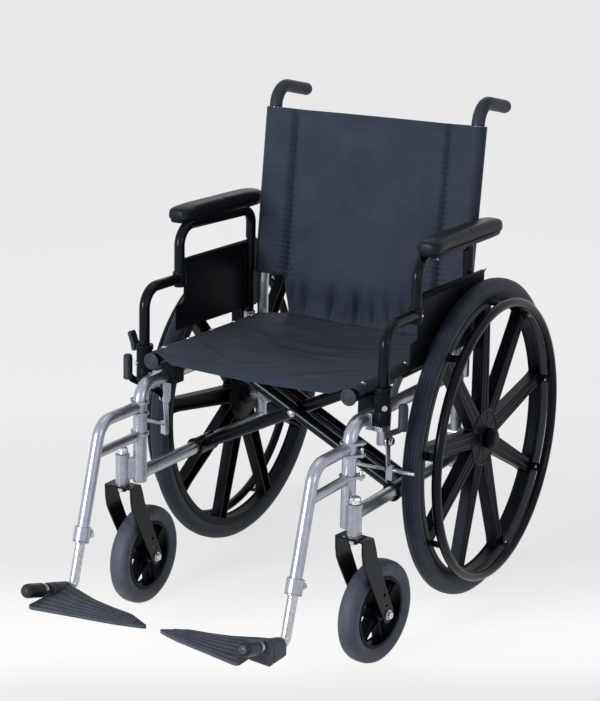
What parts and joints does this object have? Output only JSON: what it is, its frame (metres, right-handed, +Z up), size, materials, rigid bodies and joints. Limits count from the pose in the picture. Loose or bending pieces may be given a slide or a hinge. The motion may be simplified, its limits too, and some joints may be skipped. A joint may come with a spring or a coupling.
{
  "type": "folding manual wheelchair",
  "caption": "Self-propelled folding wheelchair with moulded spoked rear wheels, swivel casters, slung seat and back, lift-out padded armrests and swing-away footrests.",
  "frame": {"origin": "on the floor, under the middle of the chair's footprint", "axes": "+Z up, the chair faces -Y, +X to the seated person's left"},
  "size_m": [0.632, 1.0824, 0.9355],
  "materials": {
    "satin_silver": "satin silver-painted tube",
    "gloss_black": "gloss black enamel on steel tube",
    "black_plastic": "satin moulded nylon",
    "slate_nylon": "woven nylon upholstery",
    "slate_grip": "moulded grip rubber",
    "black_vinyl": "padded vinyl skin",
    "dark_tyre": "dark solid rubber tread",
    "grey_rubber": "grey solid rubber tread",
    "zinc_steel": "bright zinc plate"
  },
  "bodies": {
    "left_side": {"side_frame_left": "satin_silver", "push_grip_left": "slate_grip", "rear_axle_left": "black_plastic", "rail_saddle_left": "black_plastic", "arm_socket_left": "black_plastic", "lock_bracket_left": "zinc_steel"},
    "right_side": {"side_frame_right": "satin_silver", "push_grip_right": "slate_grip", "rear_axle_right": "black_plastic", "rail_saddle_right": "black_plastic", "arm_socket_right": "black_plastic", "lock_bracket_right": "zinc_steel"},
    "double_arm": {"cross_arm_double": "gloss_black", "cross_pivot_bolt": "zinc_steel", "seat_rail_right": "gloss_black"},
    "single_arm": {"cross_arm_single": "gloss_black", "seat_rail_left": "gloss_black"},
    "right_seat_cloth": {"seat_sling_right": "slate_nylon"},
    "left_seat_cloth": {"seat_sling_left": "slate_nylon"},
    "left_back_cloth": {"back_sling_left": "slate_nylon"},
    "right_back_cloth": {"back_sling_right": "slate_nylon"},
    "left_rear_wheel": {"wheel_left": "black_plastic", "wheel_tyre_left": "dark_tyre", "handrim_left": "gloss_black"},
    "left_caster_fork": {"caster_fork_left": "gloss_black", "caster_axle_left": "zinc_steel"},
    "left_caster_wheel": {"caster_wheel_left": "black_plastic", "caster_tyre_left": "grey_rubber"},
    "left_hanger": {"hanger_left": "satin_silver", "hanger_clamp_left": "zinc_steel", "footrest_extension_left": "satin_silver", "footrest_knob_left": "black_plastic"},
    "left_footplate": {"footplate_left": "black_plastic"},
    "left_armrest": {"armrest_frame_left": "gloss_black", "arm_pad_left": "black_vinyl", "side_guard_left": "black_plastic"},
    "left_arm_release": {"arm_release_lever_left": "black_plastic"},
    "left_lock_lever": {"lock_lever_left": "black_plastic"},
    "left_lock_shoe": {"lock_shoe_left": "zinc_steel"},
    "right_rear_wheel": {"wheel_right": "black_plastic", "wheel_tyre_right": "dark_tyre", "handrim_right": "gloss_black"},
    "right_caster_fork": {"caster_fork_right": "gloss_black", "caster_axle_right": "zinc_steel"},
    "right_caster_wheel": {"caster_wheel_right": "black_plastic", "caster_tyre_right": "grey_rubber"},
    "right_hanger": {"hanger_right": "satin_silver", "hanger_clamp_right": "zinc_steel", "footrest_extension_right": "satin_silver", "footrest_knob_right": "black_plastic"},
    "right_footplate": {"footplate_right": "black_plastic"},
    "right_armrest": {"armrest_frame_right": "gloss_black", "arm_pad_right": "black_vinyl", "side_guard_right": "black_plastic"},
    "right_arm_release": {"arm_release_lever_right": "black_plastic"},
    "right_lock_lever": {"lock_lever_right": "black_plastic"},
    "right_lock_shoe": {"lock_shoe_right": "zinc_steel"}
  },
  "joints": [
    {"name": "chair_fold", "type": "hinge", "parent": "left_side", "child": "double_arm", "pos_m": [0.219, 0.01939, 0.26842], "axis": [0, 0.999, -0.0436], "range_deg": [0, 46]},
    {"name": "brace_scissor", "type": "hinge", "parent": "double_arm", "child": "single_arm", "pos_m": [0, 0.02416, 0.37756], "axis": [0, -0.999, 0.0436], "range_deg": [0, 92.5]},
    {"name": "right_side_follow", "type": "hinge", "parent": "single_arm", "child": "right_side", "pos_m": [-0.219, 0.01939, 0.26842], "axis": [0, 0.999, -0.0436], "range_deg": [0, 46.5]},
    {"name": "right_seat_cloth_turn", "type": "hinge", "parent": "double_arm", "child": "right_seat_cloth", "pos_m": [-0.205, 0.02862, 0.47972], "axis": [0, -0.999, 0.0436], "range_deg": [0, 115.6], "deforming": ["seat_sling_right"]},
    {"name": "seat_cloth_crease", "type": "hinge", "parent": "right_seat_cloth", "child": "left_seat_cloth", "pos_m": [0, 0.02882, 0.48432], "axis": [0, 0.999, -0.0436], "range_deg": [0, 138.7], "deforming": ["seat_sling_left"]},
    {"name": "left_back_cloth_turn", "type": "hinge", "parent": "left_side", "child": "left_back_cloth", "pos_m": [0.219, 0.2494, 0.56267], "axis": [0, -0.1513, -0.9885], "range_deg": [0, 70.8], "deforming": ["back_sling_left"]},
    {"name": "back_cloth_crease", "type": "hinge", "parent": "left_back_cloth", "child": "right_back_cloth", "pos_m": [0, 0.2494, 0.56267], "axis": [0, 0.1513, 0.9885], "range_deg": [0, 141.2], "deforming": ["back_sling_right"]},
    {"name": "left_footplate_flip", "type": "hinge", "parent": "left_hanger", "child": "left_footplate", "pos_m": [0.219, -0.40382, 0.12875], "axis": [0, 0.9455, -0.3256], "range_deg": [0, 113]},
    {"name": "left_wheel_spin", "type": "hinge", "parent": "left_side", "child": "left_rear_wheel", "pos_m": [0.2706, 0.23619, 0.305], "axis": [1, 0, 0], "continuous": true},
    {"name": "left_caster_swivel", "type": "hinge", "parent": "left_side", "child": "left_caster_fork", "pos_m": [0.244, -0.21322, 0.25956], "axis": [0, 0.0436, 0.999], "continuous": true},
    {"name": "left_caster_spin", "type": "hinge", "parent": "left_caster_fork", "child": "left_caster_wheel", "pos_m": [0.2526, -0.1503, 0.09402], "axis": [0.9925, -0.1218, 0.0053], "continuous": true},
    {"name": "left_hanger_swing", "type": "hinge", "parent": "left_side", "child": "left_hanger", "pos_m": [0.219, -0.18632, 0.40553], "axis": [0, 0.0436, 0.999], "range_deg": [0, 90]},
    {"name": "left_armrest_lift", "type": "slide", "parent": "left_side", "child": "left_armrest", "axis": [0, 0.0436, 0.999], "range_m": [0, 0.1]},
    {"name": "left_arm_release_press", "type": "hinge", "parent": "left_side", "child": "left_arm_release", "pos_m": [0.2669, -0.12413, 0.48889], "axis": [0, 0.999, -0.0436], "range_deg": [0, 20], "stiffness_Nm_per_rad": 0.05, "springref_deg": -11.46},
    {"name": "left_lock_lever_throw", "type": "hinge", "parent": "left_side", "child": "left_lock_lever", "pos_m": [0.232, -0.07849, 0.38781], "axis": [1, 0, 0], "range_deg": [0, 40]},
    {"name": "left_lock_shoe_turn", "type": "hinge", "parent": "left_side", "child": "left_lock_shoe", "pos_m": [0.232, -0.07849, 0.38781], "axis": [1, 0, 0], "range_deg": [0, 4.1]},
    {"name": "right_footplate_flip", "type": "hinge", "parent": "right_hanger", "child": "right_footplate", "pos_m": [-0.219, -0.40382, 0.12875], "axis": [0, -0.9455, 0.3256], "range_deg": [0, 113]},
    {"name": "right_wheel_spin", "type": "hinge", "parent": "right_side", "child": "right_rear_wheel", "pos_m": [-0.2706, 0.23619, 0.305], "axis": [1, 0, 0], "continuous": true},
    {"name": "right_caster_swivel", "type": "hinge", "parent": "right_side", "child": "right_caster_fork", "pos_m": [-0.244, -0.21322, 0.25956], "axis": [0, -0.0436, -0.999], "continuous": true},
    {"name": "right_caster_spin", "type": "hinge", "parent": "right_caster_fork", "child": "right_caster_wheel", "pos_m": [-0.24523, -0.14979, 0.094], "axis": [0.9998, 0.0174, -0.0008], "continuous": true},
    {"name": "right_hanger_swing", "type": "hinge", "parent": "right_side", "child": "right_hanger", "pos_m": [-0.219, -0.18632, 0.40553], "axis": [0, -0.0436, -0.999], "range_deg": [0, 90]},
    {"name": "right_armrest_lift", "type": "slide", "parent": "right_side", "child": "right_armrest", "axis": [0, 0.0436, 0.999], "range_m": [0, 0.1]},
    {"name": "right_arm_release_press", "type": "hinge", "parent": "right_side", "child": "right_arm_release", "pos_m": [-0.2669, -0.12413, 0.48889], "axis": [0, -0.999, 0.0436], "range_deg": [0, 20], "stiffness_Nm_per_rad": 0.05, "springref_deg": -11.46},
    {"name": "right_lock_lever_throw", "type": "hinge", "parent": "right_side", "child": "right_lock_lever", "pos_m": [-0.232, -0.07849, 0.38781], "axis": [1, 0, 0], "range_deg": [0, 40]},
    {"name": "right_lock_shoe_turn", "type": "hinge", "parent": "right_side", "child": "right_lock_shoe", "pos_m": [-0.232, -0.07849, 0.38781], "axis": [1, 0, 0], "range_deg": [0, 4.1]}
  ],
  "couplings": [
    {"joint": "brace_scissor", "follows": "chair_fold", "ratio": 2},
    {"joint": "right_side_follow", "follows": "chair_fold", "ratio": 1},
    {"joint": "right_seat_cloth_turn", "follows": "chair_fold", "ratio": 2.502},
    {"joint": "seat_cloth_crease", "follows": "chair_fold", "ratio": 3.004},
    {"joint": "left_back_cloth_turn", "follows": "chair_fold", "ratio": 1.5293},
    {"joint": "back_cloth_crease", "follows": "chair_fold", "ratio": 3.0587},
    {"joint": "left_footplate_flip", "follows": "chair_fold", "ratio": 2.45},
    {"joint": "left_lock_shoe_turn", "follows": "left_lock_lever_throw", "ratio": 0.1},
    {"joint": "right_footplate_flip", "follows": "chair_fold", "ratio": 2.45},
    {"joint": "right_lock_shoe_turn", "follows": "right_lock_lever_throw", "ratio": 0.1}
  ]
}
